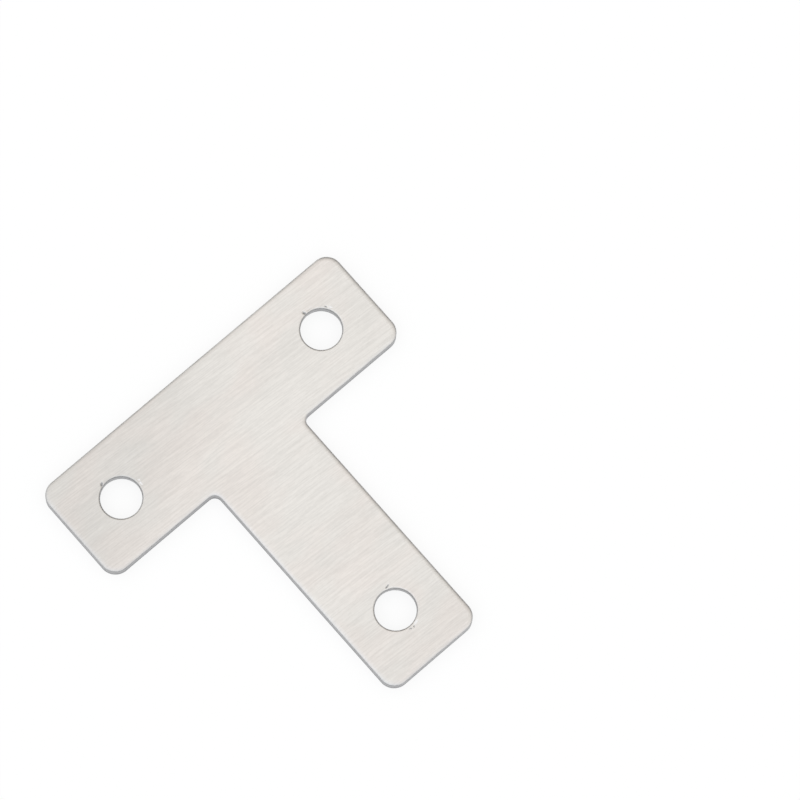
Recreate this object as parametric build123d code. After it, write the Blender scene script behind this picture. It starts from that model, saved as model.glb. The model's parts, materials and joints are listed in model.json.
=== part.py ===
from build123d import *

import os
from math import atan2, pi, tan

# Flat tee joining plate for framing extrusion, blanked from stainless steel sheet.
#
# A crossbar lies along one framing profile and a stem along the profile that meets it. Each of the
# three ends has one plain screw hole. The punch leaves the show face rolled down into its cut edges.
# Each hole breaks out a little wider towards the seating face, whose outline only has its burr broken.
#
# Frame, in millimetres: the origin is on the seating face, where the middle lines of the two
# profiles cross. +X runs along the crossbar, the stem points to -Y, and +Z leaves the show face.

# Sheet and arms
SHEET_THICKNESS = 2.0
CROSSBAR_LENGTH = 50.0
CROSSBAR_WIDTH = 15.0
STEM_WIDTH = 15.0
STEM_REACH = 42.5  # from the crossbar's middle line to the stem's end
OUTER_CORNER_RADIUS = 2.2
INNER_CORNER_RADIUS = 1.1  # where an edge of the stem meets the crossbar

# Screw holes, one near each end
SCREW_HOLE_DIAMETER = 5.5  # clears an M5 screw
CROSSBAR_HOLE_SPACING = 34.5
STEM_HOLE_REACH = 34.5  # from the crossbar's middle line

# Edges
ROLL_WIDTH = 0.6  # slope that the show face takes into the cut outline
ROLL_DEPTH = 0.16
ROLL_BLEND = 0.12  # length of slope that each of its two blends takes up
RIM_ROUND = 0.3  # round at the show face's hole rims
BREAKOUT_WIDTH = 0.15  # how much wider a hole is, all round, where the punch broke through
BREAKOUT_SHARE = 0.45  # of the sheet's thickness, up from the seating face
BURR_BREAK = 0.12  # small bevel round the seating face


def outline():
    """The tee's flat outline, with its free corners and its two inner corners rounded."""
    crossbar = Rectangle(CROSSBAR_LENGTH, CROSSBAR_WIDTH)
    stem = Rectangle(STEM_WIDTH, STEM_REACH, align=(Align.CENTER, Align.MAX))
    tee = (crossbar + stem).clean()
    inner = tee.vertices().filter_by(is_inner_corner)
    tee = fillet(inner, INNER_CORNER_RADIUS)
    free = tee.vertices().filter_by(is_free_corner)
    return fillet(free, OUTER_CORNER_RADIUS)


def same(place, other):
    """Whether two places are the same, but for rounding."""
    return abs(place - other) < 1e-6


def is_inner_corner(corner):
    """Whether an edge of the stem meets an edge of the crossbar at this corner."""
    return same(abs(corner.X), STEM_WIDTH / 2) and same(corner.Y, -CROSSBAR_WIDTH / 2)


def is_free_corner(corner):
    """Whether this corner is at the end of an arm."""
    return same(abs(corner.X), CROSSBAR_LENGTH / 2) or same(corner.Y, -STEM_REACH)


def hole_centres():
    """The middle of each screw hole: two on the crossbar, one on the stem."""
    half_spacing = CROSSBAR_HOLE_SPACING / 2
    return [(-half_spacing, 0), (half_spacing, 0), (0, -STEM_HOLE_REACH)]


def blank():
    """The plate as cut from the sheet, with its screw holes punched and its edges still sharp."""
    holes = Locations(*hole_centres()) * Circle(SCREW_HOLE_DIAMETER / 2)
    return extrude(outline() - holes, SHEET_THICKNESS)


def outer_edges(face):
    """The edges of a face's outer boundary."""
    return face.outer_wire().edges()


def rim_edges(face):
    """The edges of a face's holes."""
    return [edge for rim in face.inner_wires() for edge in rim.edges()]


def roll_outline(plate):
    """Roll the show face into the cut outline: a shallow slope, blended into the face and the cut."""
    show_face = plate.faces().sort_by(Axis.Z)[-1]
    plate = chamfer(outer_edges(show_face), ROLL_WIDTH, ROLL_DEPTH, reference=show_face)
    dip = atan2(ROLL_DEPTH, ROLL_WIDTH)
    face_radius = ROLL_BLEND / tan(dip / 2)
    cut_radius = ROLL_BLEND / tan((pi / 2 - dip) / 2)
    show_face = plate.faces().sort_by(Axis.Z)[-1]
    plate = fillet(outer_edges(show_face), face_radius)
    cut_top = SHEET_THICKNESS - ROLL_DEPTH
    return fillet(plate.edges().filter_by_position(Axis.Z, cut_top, cut_top), cut_radius)


def finish_holes(plate):
    """Round each hole's rim on the show face, and widen it towards the seating face."""
    show_face = plate.faces().sort_by(Axis.Z)[-1]
    plate = fillet(rim_edges(show_face), RIM_ROUND)
    seating_face = plate.faces().sort_by(Axis.Z)[0]
    breakout_height = BREAKOUT_SHARE * SHEET_THICKNESS
    return chamfer(rim_edges(seating_face), BREAKOUT_WIDTH, breakout_height, reference=seating_face)


def tee_plate():
    """The finished plate."""
    plate = finish_holes(roll_outline(blank()))
    seating_face = plate.faces().sort_by(Axis.Z)[0]
    return chamfer(outer_edges(seating_face), BURR_BREAK)


os.makedirs("parts", exist_ok=True)
export_step(tee_plate(), "parts/tee_plate.step")
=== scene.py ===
"""Looks for the flat tee joining plate: brushed stainless sheet with stamped edges and punched holes."""

import json
import math

import bmesh
import bpy
from mathutils import Euler, Matrix, Vector, noise


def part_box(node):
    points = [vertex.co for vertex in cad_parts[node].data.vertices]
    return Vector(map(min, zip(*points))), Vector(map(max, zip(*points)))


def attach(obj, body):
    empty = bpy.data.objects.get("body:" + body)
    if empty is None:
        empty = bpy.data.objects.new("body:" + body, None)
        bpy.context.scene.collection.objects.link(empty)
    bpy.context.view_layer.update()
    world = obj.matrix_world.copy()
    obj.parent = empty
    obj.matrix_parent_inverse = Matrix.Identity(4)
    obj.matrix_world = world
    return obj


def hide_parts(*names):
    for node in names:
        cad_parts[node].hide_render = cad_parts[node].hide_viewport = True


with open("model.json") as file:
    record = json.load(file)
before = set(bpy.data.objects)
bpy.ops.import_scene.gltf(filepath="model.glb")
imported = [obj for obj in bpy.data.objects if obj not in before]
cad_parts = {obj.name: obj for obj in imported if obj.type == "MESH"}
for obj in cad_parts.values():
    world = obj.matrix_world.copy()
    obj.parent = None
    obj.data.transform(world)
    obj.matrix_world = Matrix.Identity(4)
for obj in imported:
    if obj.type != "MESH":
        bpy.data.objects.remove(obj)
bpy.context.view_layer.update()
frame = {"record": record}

# Sizes that the plate's CAD box and mounts give, in metres
LOW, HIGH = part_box("tee_plate")
THICKNESS = HIGH.z
ARM_WIDTH = 2 * HIGH.y
HOLES = [mount for mount in frame["record"]["mounts"] if mount["kind"] == "bore"]

# Corners and edges, in metres
OUTER_CORNER_RADIUS = 0.0022
INNER_CORNER_RADIUS = 0.0011
CORNER_SEGMENTS = 24
ROLL_WIDTH = 0.00072
ROLL_DEPTH = 0.00028
ROLL_SEGMENTS = 16
# Steep faces get the dark sheared finish: duller metal, and painted shade on the walls and on the steep
# part of the rolled edge
SHEAR_AND_SHADE_STEEPNESS = 0.62  # faces steeper than this, by their normal's Z, have the sheared finish
BURR_BREAK = 0.00012

# Holes, in metres
HOLE_STEPS = 180
BREAKOUT_WIDTH = 0.00015  # how much wider a hole is, all round, where the punch broke through
BREAKOUT_TOP = 0.45 * THICKNESS
BREAKOUT_RINGS = 6
BREAKOUT_WANDER = 0.00003  # how far the torn metal strays from its cone
LAND_RINGS = 3
RIM_ROUND = 0.0003
RIM_SEGMENTS = 8
COLLAR_WIDTH = 0.0012  # ring of face round each rim, fine enough to take its nicks
COLLAR_RINGS = 9

# Finishes, in the order of the plate's material slots: the sheared finish's dark colour is partly painted
# shade, the bared finish's bright colour partly a painted glint
BRUSHED, SHEARED_AND_SHADED, BARED_GLINT = range(3)

# Nicks at the rims: the hole, the bearing round it and the lean off the rim's line in degrees, then
# the reach from the hole's middle, half length, half width and depth in metres, and the finish, which
# paints shade into a dark dent and a glint onto a bright one
NICKS = (
    ("crossbar_right_hole", 95, 100, 0.00312, 0.00028, 0.00013, 0.00016, SHEARED_AND_SHADED),
    ("crossbar_right_hole", 80, 5, 0.00312, 0.00045, 0.00010, 0.00008, BRUSHED),
    ("crossbar_right_hole", 27, 15, 0.00316, 0.00026, 0.00013, 0.00004, BARED_GLINT),
    ("crossbar_right_hole", 38, -10, 0.00309, 0.00018, 0.00008, 0.00008, SHEARED_AND_SHADED),
    ("crossbar_left_hole", 104, 40, 0.00310, 0.00030, 0.00014, 0.00014, SHEARED_AND_SHADED),
    ("crossbar_left_hole", -5, 10, 0.00318, 0.00030, 0.00012, 0.00004, BARED_GLINT),
    ("crossbar_left_hole", 5, 30, 0.00328, 0.00014, 0.00010, 0.00004, BARED_GLINT),
    ("stem_hole", 69, 32, 0.00320, 0.00034, 0.00010, 0.00012, SHEARED_AND_SHADED),
    ("stem_hole", -74, 0, 0.00312, 0.00042, 0.00012, 0.00004, BARED_GLINT),
    ("stem_hole", -84, 25, 0.00326, 0.00018, 0.00007, 0.00007, SHEARED_AND_SHADED),
    ("stem_hole", -94, -10, 0.00316, 0.00022, 0.00007, 0.00006, SHEARED_AND_SHADED),
)


# ---------------------------------------------------------------- plate

def tee_prism(bm):
    """The tee with its corners rounded, lying on the floor with sharp edges."""
    arm = ARM_WIDTH / 2
    places = [(LOW.x, -arm), (-arm, -arm), (-arm, LOW.y), (arm, LOW.y),
              (arm, -arm), (HIGH.x, -arm), (HIGH.x, arm), (LOW.x, arm)]
    corners = [bm.verts.new((x, y, 0)) for x, y in places]
    bm.faces.new(corners)
    inner = [corners[1], corners[4]]
    outer = [corner for corner in corners if corner not in inner]
    for group, radius in ((inner, INNER_CORNER_RADIUS), (outer, OUTER_CORNER_RADIUS)):
        bmesh.ops.bevel(bm, geom=group, offset=radius, offset_type="OFFSET", affect="VERTICES",
                        segments=CORNER_SEGMENTS, profile=0.5, material=-1)
    top = bmesh.ops.extrude_face_region(bm, geom=bm.faces[:])["geom"]
    raised = [item for item in top if isinstance(item, bmesh.types.BMVert)]
    bmesh.ops.translate(bm, verts=raised, vec=(0, 0, THICKNESS))
    bmesh.ops.recalc_face_normals(bm, faces=bm.faces[:])


def edges_at(bm, height):
    """The edges that lie flat at one height."""
    return [edge for edge in bm.edges if all(abs(end.co.z - height) < 1e-7 for end in edge.verts)]


def roll_edges(bm):
    """Roll the show face's outline down into the cut, and break the burr under it."""
    bmesh.ops.bevel(bm, geom=edges_at(bm, THICKNESS), offset=ROLL_WIDTH, offset_type="OFFSET",
                    affect="EDGES", segments=ROLL_SEGMENTS, profile=0.5, material=-1)
    rolled = [vert for vert in bm.verts if vert.co.z > THICKNESS - ROLL_WIDTH - 1e-7]
    bmesh.ops.scale(bm, verts=rolled, vec=(1, 1, ROLL_DEPTH / ROLL_WIDTH),
                    space=Matrix.Translation((0, 0, -THICKNESS)))
    bmesh.ops.bevel(bm, geom=edges_at(bm, 0), offset=BURR_BREAK, offset_type="OFFSET",
                    affect="EDGES", segments=2, profile=0.5, material=-1)
    flats = [face for face in bm.faces if len(face.verts) > 4]
    bmesh.ops.delete(bm, geom=flats, context="FACES_ONLY")


def hole_section(radius):
    """A hole's section from the seating face up: breakout, land, rim round and a collar of face."""
    land_top = THICKNESS - RIM_ROUND
    section = []
    for ring in range(BREAKOUT_RINGS):
        share = ring / BREAKOUT_RINGS
        section.append(Vector((radius + BREAKOUT_WIDTH * (1 - share), 0, BREAKOUT_TOP * share)))
    for ring in range(LAND_RINGS):
        share = ring / LAND_RINGS
        section.append(Vector((radius, 0, BREAKOUT_TOP + (land_top - BREAKOUT_TOP) * share)))
    for step in range(RIM_SEGMENTS + 1):
        turn = math.pi / 2 * step / RIM_SEGMENTS
        section.append(Vector((radius + RIM_ROUND * (1 - math.cos(turn)), 0,
                               land_top + RIM_ROUND * math.sin(turn))))
    for ring in range(1, COLLAR_RINGS + 1):
        width = COLLAR_WIDTH * (ring / COLLAR_RINGS) ** 1.5
        section.append(Vector((radius + RIM_ROUND + width, 0, THICKNESS)))
    return section


def tear_breakout(bm, centre, radius):
    """Roughen the torn metal under the land, where the punch broke through."""
    for vert in bm.verts:
        out = (vert.co - centre) * Vector((1, 1, 0))
        if out.length < radius + RIM_ROUND and 1e-6 < vert.co.z < BREAKOUT_TOP + 1e-6:
            stray = noise.noise(vert.co * 2600) + 0.5 * noise.noise(vert.co * 9000)
            vert.co += out.normalized() * abs(stray) * BREAKOUT_WANDER
            if vert.co.z > BREAKOUT_TOP - 1e-6:
                vert.co.z += noise.noise(vert.co * 1500) * 3 * BREAKOUT_WANDER


def hole_lining(bm, centre, radius):
    """One punched hole, spun from its section."""
    section = hole_section(radius)
    chain = [bm.verts.new(centre + point) for point in section]
    links = [bm.edges.new(pair) for pair in zip(chain, chain[1:])]
    bmesh.ops.spin(bm, geom=chain + links, cent=centre, axis=(0, 0, 1), dvec=(0, 0, 0),
                   angle=2 * math.pi, steps=HOLE_STEPS, use_merge=True)
    tear_breakout(bm, centre, radius)


def press_nick(bm, centre, bearing, lean, reach, length, width, depth, finish):
    """One nick at a rim: a narrow dent, with its own finish where it is deep, which paints shade into a
    dark dent and a glint onto a bright one.
    """
    turn = math.radians(bearing)
    middle = centre + Vector((math.cos(turn), math.sin(turn), 0)) * reach
    lay = turn + math.radians(lean)
    along = Vector((-math.sin(lay), math.cos(lay), 0))

    def spread(place):
        offset = (place - middle) * Vector((1, 1, 0))
        return (offset.dot(along) / length) ** 2 + (offset.cross(along).z / width) ** 2

    upper = [vert for vert in bm.verts if vert.co.z > THICKNESS - RIM_ROUND and spread(vert.co) < 6]
    for face in {face for vert in upper for face in vert.link_faces}:
        if spread(face.calc_center_median()) < 1:
            face.material_index = finish
    for vert in upper:
        vert.co.z -= depth * math.exp(-spread(vert.co))


def fill_flats(bm):
    """Fill the two flat faces between the outline and the holes."""
    for height in (0, THICKNESS):
        open_edges = [edge for edge in edges_at(bm, height) if edge.is_boundary]
        bmesh.ops.triangle_fill(bm, edges=open_edges, use_beauty=True, use_dissolve=False,
                                normal=(0, 0, 1))
    bmesh.ops.recalc_face_normals(bm, faces=bm.faces[:])


def lay_grain_map(bm):
    """A flat UV map with U along the brushing."""
    grain_map = bm.loops.layers.uv.new("grain")
    for face in bm.faces:
        for loop in face.loops:
            loop[grain_map].uv = (loop.vert.co.xy - LOW.xy) / (HIGH.x - LOW.x)


def make_plate(*finishes):
    """The whole plate as one closed piece, with its finishes in the order of its slots."""
    bm = bmesh.new()
    tee_prism(bm)
    roll_edges(bm)
    for hole in HOLES:
        x, y, z = hole["pos_m"]
        hole_lining(bm, Vector((x, y, 0)), hole["dims"]["r_mm"] / 1000)
    fill_flats(bm)
    for face in bm.faces:
        # Steep faces take the dark sheared finish: duller metal, and painted shade on the walls and the
        # steep part of the rolled edge
        face.material_index = SHEARED_AND_SHADED if abs(face.normal.z) < SHEAR_AND_SHADE_STEEPNESS else BRUSHED
    for name, *nick in NICKS:
        x, y, z = next(hole["pos_m"] for hole in HOLES if hole["name"] == name)
        press_nick(bm, Vector((x, y, 0)), *nick)
    bm.normal_update()
    for face in bm.faces:
        face.smooth = abs(face.normal.z) < 0.99999
    lay_grain_map(bm)
    mesh = bpy.data.meshes.new("plate")
    bm.to_mesh(mesh)
    bm.free()
    for finish in finishes:
        mesh.materials.append(finish)
    plate = bpy.data.objects.new("plate", mesh)
    bpy.context.scene.collection.objects.link(plate)
    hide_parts("tee_plate")
    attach(plate, "root")
    return plate


# ---------------------------------------------------------------- materials

# Grain of each finish: streaks per metre along and across it, and how far it wavers in metres
BRUSHING = (450.0, 2900.0, 0.00015)
SHEARING = (400.0, 4200.0, 0.0001)
BRUSHING_TURN = math.radians(3.5)  # how far the scratches lie off the crossbar's line

# Colours of the metal
WARM_STEEL = (0.778, 0.742, 0.712, 1)
COOL_STEEL = (0.765, 0.747, 0.720, 1)
ROLLED_STEEL = (0.74, 0.735, 0.73, 1)
# Dark colours of the punched walls: duller sheared metal, partly painted shade
SHADED_LAND_STEEL = (0.40, 0.40, 0.405, 1)
SHADED_TORN_STEEL = (0.385, 0.385, 0.395, 1)
# Bright fresh metal at the burrs, partly a painted glint
FRESH_STEEL_GLINT = (0.93, 0.93, 0.94)


def add(tree, kind, **values):
    """A node of one kind, with its properties and inputs set: a socket there becomes a link."""
    node = tree.nodes.new(kind)
    for name, value in values.items():
        if hasattr(node, name):
            setattr(node, name, value)
        else:
            feed(tree, value, node.inputs[name.replace("_", " ")])
    return node


def feed(tree, value, socket):
    """Give one input a value, or a link where the value is another node's output."""
    if isinstance(value, bpy.types.NodeSocket):
        tree.links.new(value, socket)
    else:
        socket.default_value = value


def maths(tree, operation, *values):
    """One step of arithmetic on values and outputs."""
    node = add(tree, "ShaderNodeMath", operation=operation)
    for value, socket in zip(values, node.inputs):
        feed(tree, value, socket)
    return node.outputs[0]


def vectors(tree, operation, *values):
    """One step of vector arithmetic."""
    node = add(tree, "ShaderNodeVectorMath", operation=operation)
    for value, socket in zip(values, node.inputs):
        feed(tree, value, socket)
    return node.outputs["Value" if operation == "DOT_PRODUCT" else "Vector"]


def scaled(tree, colour, amount):
    """A colour or vector times one amount."""
    node = add(tree, "ShaderNodeVectorMath", operation="SCALE", Scale=amount)
    feed(tree, colour, node.inputs[0])
    return node.outputs["Vector"]


def map_range(tree, source, low, high, to_low, to_high):
    """A smooth step of one value."""
    return add(tree, "ShaderNodeMapRange", interpolation_type="SMOOTHSTEP", Value=source,
               From_Min=low, From_Max=high, To_Min=to_low, To_Max=to_high).outputs["Result"]


def mixed(tree, share, first, second):
    """A colour between two others."""
    node = add(tree, "ShaderNodeMix", data_type="RGBA")
    for name, value in (("Factor_Float", share), ("A_Color", first), ("B_Color", second)):
        feed(tree, value, next(socket for socket in node.inputs if socket.identifier == name))
    return next(socket for socket in node.outputs if socket.identifier == "Result_Color")


def cloud(tree, place, scale, detail=2.0, roughness=0.5):
    """Soft noise at one scale, per metre along each axis."""
    return add(tree, "ShaderNodeTexNoise", Vector=vectors(tree, "MULTIPLY", place, scale), Scale=1.0,
               Detail=detail, Roughness=roughness).outputs["Fac"]


def make_grain():
    """Shared grain: wavering streaks, fine hairlines and slow clouds that run along X."""
    tree = bpy.data.node_groups.new("directional_grain", "ShaderNodeTree")
    for name, kind in (("Place", "Vector"), ("Along", "Float"), ("Across", "Float"), ("Waver", "Float")):
        tree.interface.new_socket(name, in_out="INPUT", socket_type="NodeSocket" + kind)
    for name in ("Streaks", "Hairlines", "Clouds"):
        tree.interface.new_socket(name, in_out="OUTPUT", socket_type="NodeSocketFloat")
    given = tree.nodes.new("NodeGroupInput").outputs
    result = tree.nodes.new("NodeGroupOutput").inputs
    sway = maths(tree, "SUBTRACT", cloud(tree, given["Place"], (90, 260, 260)), 0.5)
    aside = maths(tree, "MULTIPLY", sway, given["Waver"])
    shift = add(tree, "ShaderNodeCombineXYZ", Y=aside, Z=aside).outputs["Vector"]
    place = vectors(tree, "ADD", given["Place"], shift)
    stretch = add(tree, "ShaderNodeCombineXYZ", X=given["Along"], Y=given["Across"],
                  Z=given["Across"]).outputs["Vector"]
    lain = vectors(tree, "MULTIPLY", place, stretch)
    streaks = add(tree, "ShaderNodeTexNoise", Vector=lain, Scale=1.0, Detail=4.0, Roughness=0.7)
    tree.links.new(streaks.outputs["Fac"], result["Streaks"])
    lines = cloud(tree, vectors(tree, "ADD", lain, (31.0, 7.0, 3.0)), (0.5, 2.0, 2.0), detail=1.0)
    tree.links.new(map_range(tree, lines, 0.32, 0.68, 0.0, 1.0), result["Hairlines"])
    tree.links.new(cloud(tree, place, (45, 120, 120), detail=3.0), result["Clouds"])
    return tree


def laid_grain(tree, grain, place, along, across, waver):
    """The shared grain placed in one material, with that material's own scale."""
    node = add(tree, "ShaderNodeGroup", node_tree=grain)
    for name, value in (("Place", place), ("Along", along), ("Across", across), ("Waver", waver)):
        feed(tree, value, node.inputs[name])
    return [node.outputs[name] for name in ("Streaks", "Hairlines", "Clouds")]


def swing(tree, value, amount, middle=1.0):
    """A value from 0 to 1 turned into a swing about a middle."""
    return maths(tree, "MULTIPLY_ADD", value, amount, middle - amount / 2)


def new_material(name):
    """A metal with its node tree, its shader and the piece's own coordinates."""
    material = bpy.data.materials.new(name)
    material.use_nodes = True
    tree = material.node_tree
    shader = tree.nodes["Principled BSDF"]
    shader.inputs["Metallic"].default_value = 1
    return material, tree, shader, tree.nodes.new("ShaderNodeTexCoord").outputs["Object"]


def brushed_stainless(grain):
    """The brushed sheet: fine scratches along the crossbar, which fade on the rolled edge."""
    material, tree, shader, place = new_material("brushed_stainless")
    lay = add(tree, "ShaderNodeMapping", Vector=place, Rotation=(0, 0, BRUSHING_TURN)).outputs["Vector"]
    streaks, hairlines, clouds = laid_grain(tree, grain, lay, *BRUSHING)
    height = add(tree, "ShaderNodeSeparateXYZ", Vector=place).outputs["Z"]
    rolled = map_range(tree, height, THICKNESS - 0.00022, THICKNESS - 0.00002, 1.0, 0.0)

    # Tone: streaks, hairlines, and a painted reflection falloff that darkens the far left and towards the
    # stem's end
    across = vectors(tree, "DOT_PRODUCT", place, (0.6, -0.8, 0))
    painted_reflection_falloff = maths(tree, "MULTIPLY", map_range(tree, across, -0.016, 0.004, 0.945, 1.055),
                   map_range(tree, across, 0.008, 0.028, 1.0, 0.975))
    tone = maths(tree, "MULTIPLY", swing(tree, streaks, 0.23), painted_reflection_falloff)
    tone = maths(tree, "MULTIPLY", tone, swing(tree, clouds, 0.20))
    tone = maths(tree, "MULTIPLY", tone, swing(tree, hairlines, 0.07))
    grit = cloud(tree, lay, (2200, 3200, 3200), detail=1.0)
    tone = maths(tree, "MULTIPLY", tone, swing(tree, grit, 0.08))
    tinge = cloud(tree, place, (130, 210, 210), detail=1.0)
    steel = mixed(tree, map_range(tree, tinge, 0.35, 0.65, 0.0, 1.0), WARM_STEEL, COOL_STEEL)
    steel = mixed(tree, rolled, steel, ROLLED_STEEL)
    tree.links.new(scaled(tree, steel, tone), shader.inputs["Base Color"])

    # Gloss and relief: the scratches spread highlights across themselves
    gloss = maths(tree, "MULTIPLY_ADD", clouds, 0.12, swing(tree, streaks, 0.14, 0.30))
    gloss = maths(tree, "MULTIPLY_ADD", rolled, -0.06, gloss)
    tree.links.new(gloss, shader.inputs["Roughness"])
    shader.inputs["Anisotropic"].default_value = 0.5
    shader.inputs["Anisotropic Rotation"].default_value = 0.25
    brushing = add(tree, "ShaderNodeTangent", direction_type="UV_MAP", uv_map="grain")
    tree.links.new(brushing.outputs["Tangent"], shader.inputs["Tangent"])
    relief = maths(tree, "MULTIPLY_ADD", hairlines, 0.25, streaks)
    bump = add(tree, "ShaderNodeBump", Height=relief, Strength=0.6, Distance=0.00002)
    tree.links.new(bump.outputs["Normal"], shader.inputs["Normal"])
    return material


def sheared_shaded_stainless(grain):
    """The punched walls: upright shear lines on a burnished band, over torn metal, in a dark colour that
    is partly duller metal and partly painted shade.
    """
    material, tree, shader, place = new_material("sheared_shaded_stainless")
    upright = add(tree, "ShaderNodeMapping", Vector=place, Rotation=(0, math.pi / 2, 0)).outputs["Vector"]
    streaks, hairlines, clouds = laid_grain(tree, grain, upright, *SHEARING)
    height = add(tree, "ShaderNodeSeparateXYZ", Vector=place).outputs["Z"]
    tears = cloud(tree, place, (1100, 1100, 500), detail=3.0, roughness=0.6)
    ragged = maths(tree, "MULTIPLY_ADD", tears, 0.0009, height)
    torn = map_range(tree, ragged, BREAKOUT_TOP + 0.00020, BREAKOUT_TOP + 0.00070, 1.0, 0.0)
    crumbs = cloud(tree, place, (9000, 9000, 9000), detail=3.0, roughness=0.6)

    tone = swing(tree, streaks, 0.35)
    tone = maths(tree, "MULTIPLY", tone, maths(tree, "MULTIPLY_ADD", torn, -0.10, 1.0))
    tone = maths(tree, "MULTIPLY", tone, swing(tree, clouds, 0.2))
    tone = maths(tree, "MULTIPLY_ADD", hairlines, 0.06, tone)
    # Dark base colour: partly duller sheared metal, partly painted shade
    metal = mixed(tree, torn, SHADED_LAND_STEEL, SHADED_TORN_STEEL)
    tree.links.new(scaled(tree, metal, tone), shader.inputs["Base Color"])
    gloss = maths(tree, "MULTIPLY_ADD", torn, 0.14, swing(tree, streaks, 0.16, 0.42))
    tree.links.new(gloss, shader.inputs["Roughness"])
    relief = mixed(tree, torn, streaks, crumbs)
    bump = add(tree, "ShaderNodeBump", Height=relief, Strength=0.7, Distance=0.00003)
    tree.links.new(bump.outputs["Normal"], shader.inputs["Normal"])
    return material


def bared_glinting_stainless():
    """Small burrs at the rims, where fresh metal shows, its brightness partly a painted glint."""
    material, tree, shader, place = new_material("bared_glinting_stainless")
    grit = cloud(tree, place, (12000, 12000, 12000), detail=2.0)
    # Bright base colour: fresh metal, partly a painted glint
    fresh = scaled(tree, FRESH_STEEL_GLINT, swing(tree, grit, 0.2, 0.95))
    tree.links.new(fresh, shader.inputs["Base Color"])
    tree.links.new(swing(tree, grit, 0.2, 0.3), shader.inputs["Roughness"])
    return material


# ---------------------------------------------------------------- floor, light and camera

FLOOR_REACH = 1.5  # from its middle to each side, in metres
FLOOR_DROP = 0.00002  # how far it lies under the plate
FLOOR_SHADE = 0.18  # share of the floor's white that takes the shadow
FLOOR_LIFT = 0.85  # plain white that the camera and reflections see besides
ZENITH = 1.03  # light of the dome overhead, where 1 is white
HORIZON = 0.3  # and level with the plate
GLOW = 0.07  # added low down on the left
FAR_SIDE = 0.5  # share of the low light that is left at the far right
COOL = (0.97, 1.0, 1.04, 1)  # tinge of the dome towards the near left
WARM = (1.03, 1.0, 0.96, 1)  # and towards the far right


def make_floor():
    """A pale floor just under the plate, which keeps its soft shadow."""
    bm = bmesh.new()
    bmesh.ops.create_grid(bm, x_segments=1, y_segments=1, size=FLOOR_REACH,
                          matrix=Matrix.Translation((0, 0, -FLOOR_DROP)))
    mesh = bpy.data.meshes.new("floor")
    bm.to_mesh(mesh)
    bm.free()
    floor = bpy.data.objects.new("floor", mesh)
    bpy.context.scene.collection.objects.link(floor)
    material = bpy.data.materials.new("white_floor")
    material.use_nodes = True
    tree = material.node_tree
    shader = tree.nodes["Principled BSDF"]
    shader.inputs["Base Color"].default_value = (FLOOR_SHADE, FLOOR_SHADE, FLOOR_SHADE, 1)
    shader.inputs["Roughness"].default_value = 1
    shader.inputs["Specular IOR Level"].default_value = 0
    shader.inputs["Emission Color"].default_value = (1, 1, 1, 1)
    path = tree.nodes.new("ShaderNodeLightPath").outputs
    seen = maths(tree, "MAXIMUM", path["Is Camera Ray"], path["Is Glossy Ray"])
    seen = maths(tree, "MAXIMUM", seen, path["Is Transmission Ray"])
    tree.links.new(maths(tree, "MULTIPLY", seen, FLOOR_LIFT), shader.inputs["Emission Strength"])
    mesh.materials.append(material)


def light_dome():
    """A soft dome: white overhead, dimmer low down and at the far right, with a faint glow at the left."""
    world = bpy.data.worlds.new("studio")
    world.use_nodes = True
    tree = world.node_tree
    sky = tree.nodes["Background"]
    place = tree.nodes.new("ShaderNodeTexCoord").outputs["Generated"]
    height = add(tree, "ShaderNodeSeparateXYZ", Vector=place).outputs["Z"]
    glow = map_range(tree, vectors(tree, "DOT_PRODUCT", place, (-0.94, 0, 0.34)), 0.3, 1.0, 0.0, GLOW)
    fall = map_range(tree, height, 0.0, 0.8, HORIZON, ZENITH)
    beyond = vectors(tree, "DOT_PRODUCT", place, (0.9, 0.43, 0))
    fall = maths(tree, "MULTIPLY", fall, map_range(tree, beyond, 0.2, 0.95, 1.0, FAR_SIDE))
    tree.links.new(maths(tree, "ADD", fall, glow), sky.inputs["Strength"])
    aside = map_range(tree, beyond, -0.9, 0.9, 0.0, 1.0)
    tree.links.new(mixed(tree, aside, COOL, WARM), sky.inputs["Color"])
    bpy.context.scene.world = world


CAMERA_TURN = (12.98, -1.607, -41.21)  # degrees
CAMERA_AIM = Vector((0.01911, -0.01362, 0))
CAMERA_REACH = 0.7243
LENS = 248.6


def place_camera():
    """A long lens that looks down on the plate a little from one side."""
    camera = bpy.data.objects.new("camera", bpy.data.cameras.new("camera"))
    turn = Euler([math.radians(angle) for angle in CAMERA_TURN])
    camera.rotation_euler = turn
    camera.location = CAMERA_AIM + turn.to_matrix() @ Vector((0, 0, CAMERA_REACH))
    camera.data.lens = LENS
    camera.data.clip_start = 0.01
    bpy.context.scene.collection.objects.link(camera)
    bpy.context.scene.camera = camera


grain = make_grain()
make_plate(brushed_stainless(grain), sheared_shaded_stainless(grain), bared_glinting_stainless())
make_floor()
light_dome()
place_camera()
bpy.context.scene.view_settings.view_transform = "Standard"
